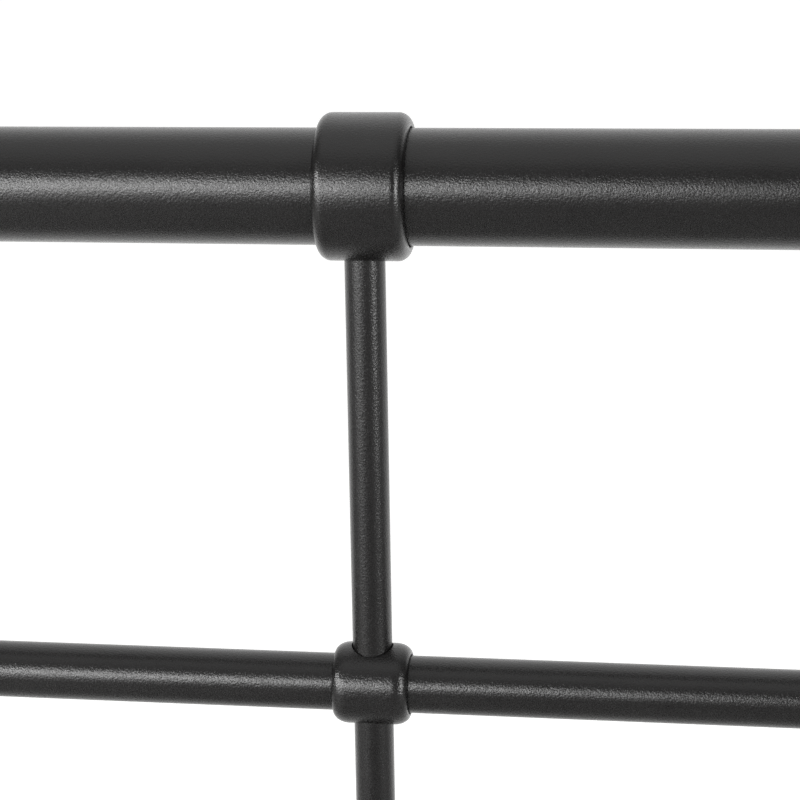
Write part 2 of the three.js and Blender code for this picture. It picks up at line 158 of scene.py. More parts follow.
class BedFootSettings(PropertyGroup):
    """Centre legs, their plugs and levelling feet, and the glides under the posts."""

    flange: length("Leg flange", "Thickness of the flange on top of a centre leg", 4.0)
    edge: length("Turned edge", "Rounding of the flanges and plugs", 0.8)
    plug_bore: length("Plug bore", "Radius of the bore in a leg plug", 4.3)
    plug_gap: length("Plug gap", "Gap from a plug's stub, or a plug's or glide's shoulder, to the tube", 0.2)
    glide_gap: length("Glide gap", "Gap between a glide's stub and its post, on the radius", 0.3)
    glide_edge: length("Glide edge", "Rounding of the glides", 1.5)
    stem: length("Foot stem", "Radius of the levelling feet's threaded stems", 4.0)
    top: length("Foot top", "Height of a levelling foot's nut above the floor", 9.0)
    nut: length("Foot nut", "Distance across the flats of that nut", 13.0)
    nut_height: length("Foot nut height", "Height of that nut", 2.8)
    nut_corner: length("Foot nut corner", "Radius to which that nut's upper corners are cut", 7.0)
    rim: length("Foot rim", "Height of the upright rim of the pad", 3.0)
    rim_edge: length("Foot rim edge", "Rounding of the pad's rim", 1.0)
    inset: length("Foot inset", "How far the pad's shoulder lies inside its rim", 3.0)
    thread_pitch: length("Foot thread pitch", "Pitch of the levelling feet", 1.25)


class BedFastenerSettings(PropertyGroup):
    """Bolts, nuts and screws, and where they sit."""

    bolt: length("Bolt", "Thread diameter of the side rail bolts", 8.0)
    bolt_gap: length("Bolt gap", "Gap between a bolt and its hole, on the radius", 0.3)
    bolt_setback: length("First bolt", "From the post end of a bracket to its first bolt", 24.0)
    bolt_pitch: length("Bolt pitch", "Distance between the two bolts of a bracket", 32.0)
    head: length("Bolt head", "Diameter of the button heads", 14.0)
    head_height: length("Bolt head height", "Height of the button heads", 4.2)
    key: length("Bolt key", "Distance across the flats of the bolts' sockets", 5.0)
    key_depth: length("Bolt key depth", "Depth of the bolts' sockets", 2.2)
    washer: length("Washer", "Outer diameter of the washers", 17.0)
    washer_thickness: length("Washer thickness", "Thickness of the washers", 1.4)
    nut: length("Nut", "Distance across the flats of the nuts", 13.0)
    nut_height: length("Nut height", "Height of the thin nuts", 4.2)
    screw: length("Screw", "Thread diameter of the slat and beam screws", 5.0)
    screw_head: length("Screw head", "Diameter of the screw heads", 10.5)
    screw_head_height: length("Screw head height", "Height of the slat screws' heads", 2.0)
    screw_key: length("Screw key", "Distance across the flats of the screws' sockets", 3.0)
    screw_key_depth: length("Screw key depth", "Depth of the screws' sockets", 1.2)
    screw_setback: length("Screw setback", "From a slat's end to its screw", 16.0)
    screw_past: length("Screw past", "How far a slat screw reaches past the ledge", 3.0)
    beam_head: length("Beam screw head", "Distance across the flats of the beam screws' heads", 8.0)
    beam_head_height: length("Beam screw head height", "Height of those heads", 3.2)
    beam_screw: length("Beam screw length", "How far a beam screw reaches past its plate", 9.0)
    flange_screw: length("Flange screw", "From a leg's axis to the screws in its flange", 20.5)
    hanger_screw: length("Hanger screw", "From the tip of a hanger to its screw", 14.0)
    weld: length("Weld bead", "Radius of the weld beads", 2.0)


class BedFinishSettings(PropertyGroup):
    """Colours, as sRGB hex, and the grain of the finishes."""

    coat: StringProperty(name="Powder coat", description="Colour of the coat", default="#100f0f")
    coat_deep: StringProperty(name="Powder coat, deep", description="Its darker mottle", default="#0c0b0b")
    polymer: StringProperty(name="Plastic", description="Colour of glides and plugs", default="#161617")
    zinc: StringProperty(name="Zinc", description="Colour of plated steel", default="#c4c6c8")
    oxide: StringProperty(name="Black oxide", description="Colour of the bolts", default="#2b2a2b")
    coat_roughness: FloatProperty(name="Coat roughness", description="Width of the gloss", default=0.27)
    peel: length("Orange peel", "Width of one grain of the coat's orange peel", 0.65)
    peel_depth: length("Orange peel depth", "Height of the coat's orange peel", 0.12)


class BedStageSettings(PropertyGroup):
    """Floor, light and camera. The camera stands off from one crossing of the headboard."""

    floor: StringProperty(name="Floor", description="Colour of the floor", default="#dededd")
    floor_glow: FloatProperty(name="Floor glow", description="Light the floor gives the camera", default=0.53)
    cove_start: length("Cove start", "Where the floor begins to brighten, along Y", 1000.0)
    cove_end: length("Cove end", "Where the floor is brightest, along Y", 2900.0)
    cove_light: FloatProperty(name="Cove light", description="Light of the floor past there", default=0.75)
    camera_side: length("Camera side", "Camera to the right of the crossing", 112.8)
    camera_back: length("Camera distance", "Camera in front of the crossing", 747.3)
    camera_rise: length("Camera rise", "Camera above the crossing", 139.1)
    pitch: tilt("Pitch", "How far the camera looks down", 13.69)
    yaw: tilt("Yaw", "How far the camera looks to the left", 8.89)
    roll: tilt("Roll", "How far the camera leans", -1.22)
    lens: FloatProperty(name="Lens", description="Focal length in millimetres", default=107.04)
    shift_x: FloatProperty(name="Shift across", description="Lens shift, in picture widths", default=0.0578)
    shift_y: FloatProperty(name="Shift up", description="Lens shift, in picture widths", default=-0.0970)


SETTINGS = {
    "bed_tubes": BedTubeSettings,
    "bed_collars": BedCollarSettings,
    "bed_sheets": BedSheetSettings,
    "bed_feet": BedFootSettings,
    "bed_fasteners": BedFastenerSettings,
    "bed_finish": BedFinishSettings,
    "bed_stage": BedStageSettings,
}


# ------------------------------------------------------------------ outlines and rings


def arc(centre_u, centre_v, radius, start, end, steps=6):
    """Points on an arc in the plane, from one angle to another in degrees."""
    angles = [math.radians(start + (end - start) * i / steps) for i in range(steps + 1)]
    return [(centre_u + radius * math.cos(a), centre_v + radius * math.sin(a)) for a in angles]


def rounded(corners, steps=5):
    """A closed outline through corners (u, v, radius), each turned with an arc of its radius."""
    outline = []
    for i, (u, v, radius) in enumerate(corners):
        corner = Vector((u, v))
        before = (Vector(corners[i - 1][:2]) - corner).normalized()
        after = (Vector(corners[(i + 1) % len(corners)][:2]) - corner).normalized()
        half = before.angle(after) / 2
        bisector = (before + after).normalized()
        centre = corner + bisector * (radius / math.sin(half))
        first = corner + before * (radius / math.tan(half)) - centre
        last = corner + after * (radius / math.tan(half)) - centre
        sweep = first.angle_signed(last)
        start = math.atan2(first.y, first.x)
        for step in range(steps + 1):
            angle = start - sweep * step / steps
            outline.append((centre.x + radius * math.cos(angle), centre.y + radius * math.sin(angle)))
    return outline


def box_outline(width, height, radius):
    """A rounded rectangle about the origin."""
    half_u, half_v = width / 2, height / 2
    return rounded([(half_u, -half_v, radius), (half_u, half_v, radius),
                    (-half_u, half_v, radius), (-half_u, -half_v, radius)])


def ring(radius, sides):
    """A circle of (u, v) points, or another round shape if radius is a function of the angle."""
    angles = [FULL_TURN * i / sides for i in range(sides)]
    reach = radius if callable(radius) else lambda angle: radius
    return [(reach(a) * math.cos(a), reach(a) * math.sin(a)) for a in angles]


def hexagon(across_flats):
    """The distance from the centre to a hexagon's side, as a function of the angle."""
    sixth = FULL_TURN / 6
    return lambda angle: across_flats / 2 / math.cos((angle + sixth / 2) % sixth - sixth / 2)


def cornered(flats, limit):
    """A hexagon's shape with its corners cut off at a distance from the centre."""
    return lambda angle: min(flats(angle), limit)


def stand(points, along, axis):
    """Stands (u, v) points across an axis, at a distance along it."""
    if axis == "X":
        return [Vector((along, u, v)) for u, v in points]
    if axis == "Y":
        return [Vector((u, along, v)) for u, v in points]
    return [Vector((u, v, along)) for u, v in points]


def skin(rings, around=False):
    """Vertices and faces joining each ring to the next, and the last to the first if it goes around."""
    sides = len(rings[0])
    faces = []
    for i in range(len(rings) if around else len(rings) - 1):
        here, there = i * sides, (i + 1) % len(rings) * sides
        for j in range(sides):
            k = (j + 1) % sides
            faces.append((here + j, here + k, there + k, there + j))
    return [point for one in rings for point in one], faces


def capped(rings):
    """A skin with a face over its first and last ring."""
    vertices, faces = skin(rings)
    sides, last = len(rings[0]), len(vertices) - len(rings[0])
    return vertices, [*faces, tuple(range(sides)), tuple(range(last, last + sides))]


def turned(profile, sides, axis="Z", centre=(0, 0, 0)):
    """A closed (radius, along) profile turned about an axis; one that ends on the axis closes there."""
    rings = [
        [Vector(centre) + point for point in stand(ring(radius, sides), along, axis)]
        for radius, along in profile
    ]
    on_axis = profile[0][0] == 0 and profile[-1][0] == 0
    return skin(rings, around=not on_axis)


def joined(*parts):
    """Several (vertices, faces) shapes as one."""
    vertices, faces = [], []
    for more_vertices, more_faces in parts:
        start = len(vertices)
        vertices.extend(more_vertices)
        faces.extend(tuple(start + index for index in face) for face in more_faces)
    return vertices, faces


def bead(path, across, upright, radius, closed=False, ripple=0.12):
    """A rippled weld bead along a path, with two directions across it at each point."""
    sides, count = 10, len(path)
    rings = []
    for i, point in enumerate(path):
        taper = 1.0 if closed else min(1.0, math.sqrt(min(i, count - 1 - i) / 3))
        swell = radius * max(taper, 0.02) * (1 + ripple * (-1) ** i)
        rings.append([point + across[i] * u * swell + upright[i] * v * swell for u, v in ring(1.0, sides)])
    return skin(rings, around=True) if closed else capped(rings)


# ------------------------------------------------------------------ pieces


def made_mesh(name, shape, crease=32):
    """A mesh with merged points, outward faces, and edges sharper than the crease angle kept sharp."""
    mesh = bpy.data.meshes.new(name)
    mesh.from_pydata([tuple(v) for v in shape[0]], [], shape[1])
    shell = bmesh.new()
    shell.from_mesh(mesh)
    bmesh.ops.remove_doubles(shell, verts=shell.verts, dist=MERGE_DISTANCE)
    bmesh.ops.recalc_face_normals(shell, faces=shell.faces)
    shell.to_mesh(mesh)
    shell.free()
    return creased(mesh, crease)


def creased(mesh, crease=32):
    mesh.shade_smooth()
    mesh.set_sharp_from_angle(angle=math.radians(crease))
    return mesh


def new_object(name, mesh):
    thing = bpy.data.objects.new(name, mesh)
    bpy.context.scene.collection.objects.link(thing)
    return thing


def evaluated(thing, crease=32):
    """Takes up a thing's modifiers into a plain mesh."""
    graph = bpy.context.evaluated_depsgraph_get()
    mesh = bpy.data.meshes.new_from_object(thing.evaluated_get(graph))
    thing.modifiers.clear()
    thing.data = creased(mesh, crease)
    return thing


def drilled(thing, bars, crease=32):
    """Cuts round bars out of a thing. Each bar is (centre, axis, radius, length)."""
    cutters = []
    for centre, axis, radius, reach in bars:
        rings = [[Vector(centre) + p for p in stand(ring(radius, 64), along, axis)]
                 for along in (-reach / 2, reach / 2)]
        cutters.append(capped(rings))
    tool = new_object("drill", made_mesh("drill", joined(*cutters)))
    cut = thing.modifiers.new("drill", "BOOLEAN")
    cut.operation, cut.solver, cut.object = "DIFFERENCE", "MANIFOLD", tool
    uncut = len(thing.data.vertices)
    evaluated(thing, crease)
    bpy.data.objects.remove(tool)
    if len(thing.data.vertices) == uncut:
        raise RuntimeError(f"the holes in {thing.name} could not be cut")
    return thing


def finished(thing, finish, *nodes, body="root"):
    """Paints a piece, lets it ride on its body and stands it for its CAD nodes."""
    thing.data.materials.clear()
    thing.data.materials.append(material_of(finish))
    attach(thing, body)
    if nodes:
        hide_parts(*nodes)
    return thing


# ------------------------------------------------------------------ node trees


def add(tree, kind, inputs=None, **settings):
    """Adds a node with its settings. Each input is a plain value or a socket to link from."""
    node = tree.nodes.new(kind)
    for name, value in settings.items():
        setattr(node, name, value)
    for socket, value in (inputs or {}).items():
        if isinstance(value, bpy.types.NodeSocket):
            tree.links.new(value, node.inputs[socket])
        else:
            node.inputs[socket].default_value = value
    return node


def geometry_tree(name, sockets):
    """A geometry tree with a mesh in and out, and named inputs given as (name, kind)."""
    tree = bpy.data.node_groups.new(name, "GeometryNodeTree")
    tree.interface.new_socket("Geometry", in_out="OUTPUT", socket_type="NodeSocketGeometry")
    for label, kind in [("Geometry", "Geometry"), *sockets, ("Finish", "Material")]:
        tree.interface.new_socket(label, in_out="INPUT", socket_type=f"NodeSocket{kind}")
    return tree, add(tree, "NodeGroupInput").outputs


def realized(tree, instances, finish):
    """Ends a geometry tree: real meshes, with their material."""
    real = add(tree, "GeometryNodeRealizeInstances", {"Geometry": instances})
    painted = add(tree, "GeometryNodeSetMaterial", {"Geometry": real.outputs[0], "Material": finish})
    add(tree, "NodeGroupOutput", {"Geometry": painted.outputs[0]})
    return tree


def grown(name, seed, tree, values, finish, *nodes, crease=32, body="root"):
    """Runs a geometry tree on a seed mesh and finishes its result as a piece."""
    thing = new_object(name, seed)
    grow = thing.modifiers.new("grow", "NODES")
    grow.node_group = tree
    sockets = {item.name: item.identifier for item in tree.interface.items_tree if item.in_out == "INPUT"}
    for label, value in {**values, "Finish": material_of(finish)}.items():
        grow[sockets[label]] = value
    evaluated(thing, crease)
    return finished(thing, finish, *nodes, body=body)


def copies_tree():
    """Sets a copy of a piece on every point of the seed, with its Z axis along the point's facing."""
    tree, given = geometry_tree("bed_copies_on_points", [("Piece", "Object")])
    facing = add(tree, "GeometryNodeInputNamedAttribute", {"Name": "facing"}, data_type="FLOAT_VECTOR")
    turn = add(tree, "FunctionNodeAlignRotationToVector", {"Vector": facing.outputs[0]}, axis="Z")
    piece = add(tree, "GeometryNodeObjectInfo", {"Object": given["Piece"]})
    copies = add(tree, "GeometryNodeInstanceOnPoints", {
        "Points": given["Geometry"],
        "Instance": piece.outputs["Geometry"],
        "Rotation": turn.outputs[0],
    })
    return realized(tree, copies.outputs[0], given["Finish"])


def slats_tree():
    """Pushes the seed outline to a bar across the bed and repeats it along the bed."""
    sockets = [("Length", "Float"), ("Count", "Int"), ("First", "Vector"), ("Step", "Vector")]
    tree, given = geometry_tree("bed_slats", sockets)
    half = add(tree, "ShaderNodeMath", {0: given["Length"], 1: 0.5}, operation="MULTIPLY").outputs[0]
    other = add(tree, "ShaderNodeMath", {0: half, 1: -1.0}, operation="MULTIPLY").outputs[0]
    start = add(tree, "ShaderNodeCombineXYZ", {"X": other})
    end = add(tree, "ShaderNodeCombineXYZ", {"X": half})
    path = add(tree, "GeometryNodeCurvePrimitiveLine", {"Start": start.outputs[0], "End": end.outputs[0]})
    outline = add(tree, "GeometryNodeMeshToCurve", {"Mesh": given["Geometry"]})
    bar = add(tree, "GeometryNodeCurveToMesh", {
        "Curve": path.outputs[0],
        "Profile Curve": outline.outputs[0],
        "Fill Caps": True,
    })
    places = add(tree, "GeometryNodeMeshLine", {
        "Count": given["Count"],
        "Start Location": given["First"],
        "Offset": given["Step"],
    })
    bars = add(tree, "GeometryNodeInstanceOnPoints", {
        "Points": places.outputs[0],
        "Instance": bar.outputs[0],
    })
    return realized(tree, bars.outputs[0], given["Finish"])


def copies(name, prototype, places, finish, body="root"):
    """One piece made of a copy of the prototype shape at each (point, facing) place."""
    model = new_object(f"{name}_model", made_mesh(f"{name}_model", prototype))
    seed = bpy.data.meshes.new(name)
    seed.from_pydata([tuple(point) for point, _ in places], [], [])
    facing = seed.attributes.new("facing", "FLOAT_VECTOR", "POINT")
    facing.data.foreach_set("vector", [value for _, direction in places for value in direction])
    tree = bpy.data.node_groups.get("bed_copies_on_points") or copies_tree()
    piece = grown(name, seed, tree, {"Piece": model}, finish, body=body)
    bpy.data.objects.remove(model)
    return piece


# ------------------------------------------------------------------ materials


def linear(hex_colour):
    """An sRGB hex colour as linear RGBA."""
    channels = [int(hex_colour[i:i + 2], 16) / 255 for i in (1, 3, 5)]
    return (*[c / 12.92 if c <= 0.04045 else ((c + 0.055) / 1.055) ** 2.4 for c in channels], 1.0)


def new_material(name):
    material = bpy.data.materials.new(name)
    material.use_nodes = True
    tree = material.node_tree
    tree.nodes.clear()
    shader = add(tree, "ShaderNodeBsdfPrincipled")
    add(tree, "ShaderNodeOutputMaterial", {"Surface": shader.outputs[0]})
    place = add(tree, "ShaderNodeTexCoord").outputs["Object"]
    return material, tree, shader, place


def grain(tree, place, width, detail=2.0, roughness=0.5):
    """Noise with grains of a given width in metres."""
    return add(tree, "ShaderNodeTexNoise", {
        "Vector": place,
        "Scale": 1 / width,
        "Detail": detail,
        "Roughness": roughness,
    }).outputs[0]


def spread(tree, value, low, high):
    """A noise value widened to run from low to high."""
    return add(tree, "ShaderNodeMapRange", {
        "Value": value,
        "From Min": 0.3,
        "From Max": 0.7,
        "To Min": low,
        "To Max": high,
    }).outputs[0]


def satin_black_powder_coat(finish):
    """Polyester powder baked on steel: near-black and satin, with an orange peel that breaks its
    highlights into grains and a faint mottle where the film is thicker."""
    material, tree, shader, place = new_material("satin_black_powder_coat")
    mottle = spread(tree, grain(tree, place, 14 * MM, 3.0), 0.0, 1.0)
    colour = add(tree, "ShaderNodeMix", {
        "Factor": mottle,
        "A": linear(finish.coat_deep),
        "B": linear(finish.coat),
    }, data_type="RGBA")
    peel = grain(tree, place, finish.peel, 2.0, 0.6)
    swell = grain(tree, place, 5 * MM, 1.0)
    height = add(tree, "ShaderNodeMath", {0: swell, 1: 0.25, 2: peel}, operation="MULTIPLY_ADD").outputs[0]
    bump = add(tree, "ShaderNodeBump", {"Height": height, "Strength": 1.0, "Distance": finish.peel_depth})
    tree.links.new(colour.outputs["Result"], shader.inputs["Base Color"])
    tree.links.new(bump.outputs[0], shader.inputs["Normal"])
    low, high = finish.coat_roughness - 0.04, finish.coat_roughness + 0.04
    tree.links.new(spread(tree, grain(tree, place, 0.6 * MM), low, high), shader.inputs["Roughness"])
    return material


def moulded_black_polymer(finish):
    """Moulded polyethylene and nylon: matt, with the fine spark texture of the mould."""
    material, tree, shader, place = new_material("moulded_black_polymer")
    shader.inputs["Base Color"].default_value = linear(finish.polymer)
    spark = grain(tree, place, 0.5 * MM, 3.0, 0.7)
    bump = add(tree, "ShaderNodeBump", {"Height": spark, "Strength": 1.0, "Distance": 0.03 * MM})
    tree.links.new(bump.outputs[0], shader.inputs["Normal"])
    tree.links.new(spread(tree, grain(tree, place, 8 * MM), 0.5, 0.62), shader.inputs["Roughness"])
    return material


def zinc_plated_steel(finish):
    """Bright zinc on steel: a cool metal with cloudy passivation and fine drawing marks."""
    material, tree, shader, place = new_material("zinc_plated_steel")
    shader.inputs["Metallic"].default_value = 1.0
    cloud = spread(tree, grain(tree, place, 6 * MM, 4.0), 0.0, 1.0)
    colour = add(tree, "ShaderNodeMix", {
        "Factor": cloud,
        "A": linear("#b6b9bf"),
        "B": linear(finish.zinc),
    }, data_type="RGBA")
    marks = grain(tree, place, 0.4 * MM, 3.0, 0.6)
    bump = add(tree, "ShaderNodeBump", {"Height": marks, "Strength": 1.0, "Distance": 0.01 * MM})
    tree.links.new(colour.outputs["Result"], shader.inputs["Base Color"])
    tree.links.new(bump.outputs[0], shader.inputs["Normal"])
    tree.links.new(spread(tree, cloud, 0.26, 0.4), shader.inputs["Roughness"])
    return material


def black_oxide_steel(finish):
    """Blackened steel of bolts and screws: a dark metal, oiled, a little brighter where handled."""
    material, tree, shader, place = new_material("black_oxide_steel")
    shader.inputs["Metallic"].default_value = 0.9
    cloud = spread(tree, grain(tree, place, 3 * MM, 3.0), 0.0, 1.0)
    colour = add(tree, "ShaderNodeMix", {
        "Factor": cloud,
        "A": linear("#1d1c1d"),
        "B": linear(finish.oxide),
    }, data_type="RGBA")
    marks = grain(tree, place, 0.35 * MM, 3.0, 0.6)
    bump = add(tree, "ShaderNodeBump", {"Height": marks, "Strength": 1.0, "Distance": 0.012 * MM})
    tree.links.new(colour.outputs["Result"], shader.inputs["Base Color"])
    tree.links.new(bump.outputs[0], shader.inputs["Normal"])
    tree.links.new(spread(tree, cloud, 0.34, 0.46), shader.inputs["Roughness"])
    return material


def matt_floor(stage):
    """A painted studio floor: matt, even and pale. What the bed mirrors of it is dark in front, as
    between black screens, and brightens toward the lit cove behind the headboard."""
    material, tree, shader, place = new_material("matt_pale_floor")
    shade = spread(tree, grain(tree, place, 6 * MM, 2.0), 0.0, 1.0)
    colour = add(tree, "ShaderNodeMix", {
        "Factor": shade,
        "A": linear("#e7e7e6"),
        "B": linear(stage.floor),
    }, data_type="RGBA")
    along = add(tree, "ShaderNodeSeparateXYZ", {"Vector": place}).outputs["Y"]
    cove = add(tree, "ShaderNodeMapRange", {
        "Value": along,
        "From Min": stage.cove_start,
        "From Max": stage.cove_end,
        "To Max": stage.cove_light,
    }, interpolation_type="SMOOTHSTEP").outputs[0]
    tree.links.new(colour.outputs["Result"], shader.inputs["Base Color"])
    seen = add(tree, "ShaderNodeLightPath").outputs["Is Camera Ray"]
    glow = add(tree, "ShaderNodeMix", {"Factor": seen, "A": cove, "B": stage.floor_glow}, data_type="FLOAT")
    tree.links.new(glow.outputs["Result"], shader.inputs["Emission Strength"])
    shader.inputs["Emission Color"].default_value = (1, 1, 1, 1)
    shader.inputs["Roughness"].default_value = 0.9
    shader.inputs["Specular IOR Level"].default_value = 0.0
    return material


FINISHES = {
    "coat": satin_black_powder_coat,
    "slat_coat": satin_black_powder_coat,
    "glide": moulded_black_polymer,
    "plug": moulded_black_polymer,
    "zinc": zinc_plated_steel,
    "oxide": black_oxide_steel,
}


def material_of(finish):
    maker = FINISHES[finish]
    return bpy.data.materials.get(maker.__name__) or maker(bpy.context.scene.bed_finish)


# ------------------------------------------------------------------ hoops, rails and spindles


def near_spindles(board, reach):
    """Stations just left and right of each spindle, so that the drilled faces stay short."""
    return [x + side * reach for x in spindle_places(board) for side in (-1, 1)]


class BED_OT_hoops(Operator):
    """Bend the two tubes that form the posts and top rails, and drill them for the spindles"""

    bl_idname = "bed.hoops"
    bl_label = "Hoops"

    def execute(self, context):
        for board in BOARDS:
            self.make(board, context.scene.bed_tubes, context.scene.bed_collars)
        return {"FINISHED"}

    def make(self, board, tubes, collars):
        hoop = hoop_of(board)
        bend = tubes.bend_radius
        stations = [(-hoop.post_x, hoop.bottom, 0.0)]
        for step in range(tubes.bend_steps + 1):
            angle = QUARTER_TURN * step / tubes.bend_steps
            across = -hoop.post_x + bend * (1 - math.cos(angle))
            up = hoop.top - bend * (1 - math.sin(angle))
            stations.append((across, up, angle))
        stations += [(x, hoop.top, QUARTER_TURN) for x in near_spindles(board, hoop.radius / 2)]
        stations += [(-x, z, math.pi - angle) for x, z, angle in reversed(stations[:tubes.bend_steps + 2])]
        outer = self.rings(stations, hoop, hoop.radius, tubes.sides)
        inner = self.rings(stations, hoop, hoop.radius - tubes.hoop_wall, tubes.sides)
        shape = skin(outer + inner[::-1], around=True)
        piece = new_object(f"{board}_hoop", made_mesh(f"{board}_hoop", shape))
        hole = size_of(f"{board}_spindle_1").x / 2 + collars.hole_gap
        drilled(piece, [((x, hoop.y, hoop.top - hoop.radius), "Z", hole, hoop.radius)
                        for x in spindle_places(board)])
        finished(piece, "coat", f"{board}_hoop")

    def rings(self, stations, hoop, radius, sides):
        """Rings across the hoop's axis, which leans over by each station's angle."""
        rings = []
        for x, z, lean in stations:
            outward = Vector((-math.cos(lean), 0, math.sin(lean)))
            centre = Vector((x, hoop.y, z))
            rings.append([centre + outward * u + Vector((0, v, 0)) for u, v in ring(radius, sides)])
        return rings


def cross_rails():
    """(board, node, drilled through) of each horizontal rail between the posts."""
    rails = [(board, node) for board in BOARDS for node in nodes_like(f"{board}_") if node.endswith("_rail")]
    return [(board, node, "middle" in node) for board, node in rails]


def coped(hoop, across):
    """How far a rail reaches to the post's wall, where it meets it at a distance from its axis."""
    return hoop.post_x - math.sqrt(hoop.radius ** 2 - across ** 2)


class BED_OT_cross_rails(Operator):
    """Make the middle and lower rails, coped to the posts and drilled for the spindles"""

    bl_idname = "bed.cross_rails"
    bl_label = "Cross Rails"

    def execute(self, context):
        for board, node, through in cross_rails():
            self.make(board, node, through, context.scene)
        return {"FINISHED"}

    def make(self, board, node, through, scene):
        hoop = hoop_of(board)
        outer = size_of(node).z / 2
        hole = size_of(f"{board}_spindle_1").x / 2 + scene.bed_collars.hole_gap
        centre = centre_of(node)
        stations = [None, *near_spindles(board, 1.3 * hole), None]
        rings = []
        for radius in (outer, outer - scene.bed_tubes.rail_wall):
            across = ring(radius, scene.bed_tubes.sides)
            line = []
            for i, x in enumerate(stations):
                end = -1 if i == 0 else 1
                line.append([Vector((end * coped(hoop, u) if x is None else x, u, v)) for u, v in across])
            rings += line if radius == outer else line[::-1]
        vertices, faces = skin(rings, around=True)
        offset = Vector((0, centre.y, centre.z))
        shape = ([offset + v for v in vertices], faces)
        piece = new_object(node, made_mesh(node, shape))
        height, reach = (centre.z, 4 * outer) if through else (centre.z + outer, outer)
        drilled(piece, [((x, centre.y, height), "Z", hole, reach) for x in spindle_places(board)])
        finished(piece, "coat", node)


class BED_OT_spindles(Operator):
    """Cut the spindles from thin tube"""

    bl_idname = "bed.spindles"
    bl_label = "Spindles"

    def execute(self, context):
        tubes = context.scene.bed_tubes
        for board in BOARDS:
            for node in nodes_like(f"{board}_spindle_"):
                low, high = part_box(node)
                outer = (high.x - low.x) / 2
                inner = outer - tubes.spindle_wall
                profile = [(inner, low.z), (outer, low.z), (outer, high.z), (inner, high.z)]
                centre = ((low.x + high.x) / 2, (low.y + high.y) / 2, 0)
                shape = turned(profile, tubes.sides, "Z", centre)
                finished(new_object(node, made_mesh(node, shape)), "coat", node)
        return {"FINISHED"}


def collar_profile(bore, outer, half, rounding, swell, mouth):
    """A sleeve's wall: broken edges at the bore, and ends that round over a depth and a length."""
    quarter = [(depth, along) for depth, along in arc(0, 0, 1.0, 90, 0, steps=14)]
    end = [(outer - rounding * (1 - depth), half - swell * (1 - along)) for depth, along in quarter]
    return [
        (bore, -half + mouth), (bore + mouth, -half),
        *[(radius, -along) for radius, along in end], *reversed(end),
        (bore + mouth, half), (bore, half - mouth),
    ]


def collar_piece(node, tube_radius, rounding, swell, holes, scene, drift=0.0):
    """A sleeve on a tube along X, with holes for the spindle above (1) or below (-1)."""
    collars = scene.bed_collars
    size, centre = size_of(node), centre_of(node)
    bore = tube_radius + collars.bore_gap
    profile = collar_profile(bore, size.z / 2, size.x / 2, rounding, swell, collars.mouth)
    shape = turned(profile, scene.bed_tubes.sides, "X", centre + Vector((drift, 0, 0)))
    piece = new_object(node, made_mesh(node, shape))
    board = node.split("_")[0]
    hole = size_of(f"{board}_spindle_1").x / 2 + collars.hole_gap
    low, high = min(0, *holes) * size.z, max(0, *holes) * size.z
    bar = (centre + Vector((0, 0, (low + high) / 2)), "Z", hole, high - low)
    return finished(drilled(piece, [bar]), "coat", node)


class BED_OT_top_collars(Operator):
    """Make the sleeves on the top rails, which the spindles enter from below"""

    bl_idname = "bed.top_collars"
    bl_label = "Top Collars"

    def execute(self, context):
        collars = context.scene.bed_collars
        rounding, drift = collars.top_rounding, collars.top_drift
        for board in BOARDS:
            radius = hoop_of(board).radius
            for node in nodes_like(f"{board}_top_collar_"):
                collar_piece(node, radius, rounding, rounding, [-1], context.scene, drift)
        return {"FINISHED"}


class BED_OT_small_collars(Operator):
    """Make the barrel collars where the spindles cross or meet the thin rails"""

    bl_idname = "bed.small_collars"
    bl_label = "Small Collars"

    def execute(self, context):
        collars = context.scene.bed_collars
        rounding, swell = collars.small_rounding, collars.small_swell
        for group, holes in (("headboard_middle", [1, -1]), ("footboard_lower", [1])):
            radius = size_of(f"{group}_rail").z / 2
            for node in nodes_like(f"{group}_collar_"):
                collar_piece(node, radius, rounding, swell, holes, context.scene)
        return {"FINISHED"}


# ------------------------------------------------------------------ side rails, brackets and slats


def pushed(outline, axis, start, end):
    """An outline pushed along an axis, with closed ends."""
    return capped([stand(outline, start, axis), stand(outline, end, axis)])


def bolt_places(fasteners):
    """(side, end, y, z) of each bolt through a bracket and its side rail."""
    places = []
    for end, end_name in ((1, "head"), (-1, "foot")):
        for side, side_name in ((1, "right"), (-1, "left")):
            low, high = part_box(f"rail_bracket_{end_name}_{side_name}")
            post_end = high.y if end > 0 else low.y
            for i in range(2):
                back = fasteners.bolt_setback + i * fasteners.bolt_pitch
                places.append((side, end, post_end - end * back, (low.z + high.z) / 2))
    return places


class BED_OT_side_rails(Operator):
    """Fold the side rails from sheet, with a ledge for the slats, and drill them"""

    bl_idname = "bed.side_rails"
    bl_label = "Side Rails"

    def execute(self, context):
        sheets, fasteners = context.scene.bed_sheets, context.scene.bed_fasteners
        for side, name in ((1, "right"), (-1, "left")):
            node = f"side_rail_{name}"
            low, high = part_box(node)
            outer, tip = (high.x, low.x) if side > 0 else (-low.x, -high.x)
            sheet, edge = sheets.rail_sheet, sheets.cut_edge
            inner_fold = sheets.rail_fold - sheet
            outline = rounded([
                (tip, low.z, edge), (outer, low.z, sheets.rail_fold), (outer, high.z, edge),
                (outer - sheet, high.z, edge), (outer - sheet, low.z + sheet, inner_fold),
                (tip, low.z + sheet, edge),
            ])
            outline = [(side * u, v) for u, v in outline]
            piece = new_object(node, made_mesh(node, pushed(outline, "Y", low.y, high.y)))
            hole = fasteners.bolt / 2 + fasteners.bolt_gap
            drilled(piece, [((side * outer, y, z), "X", hole, 4 * sheet)
                            for bolt_side, _, y, z in bolt_places(fasteners) if bolt_side == side])
            finished(piece, "coat", node)
        return {"FINISHED"}


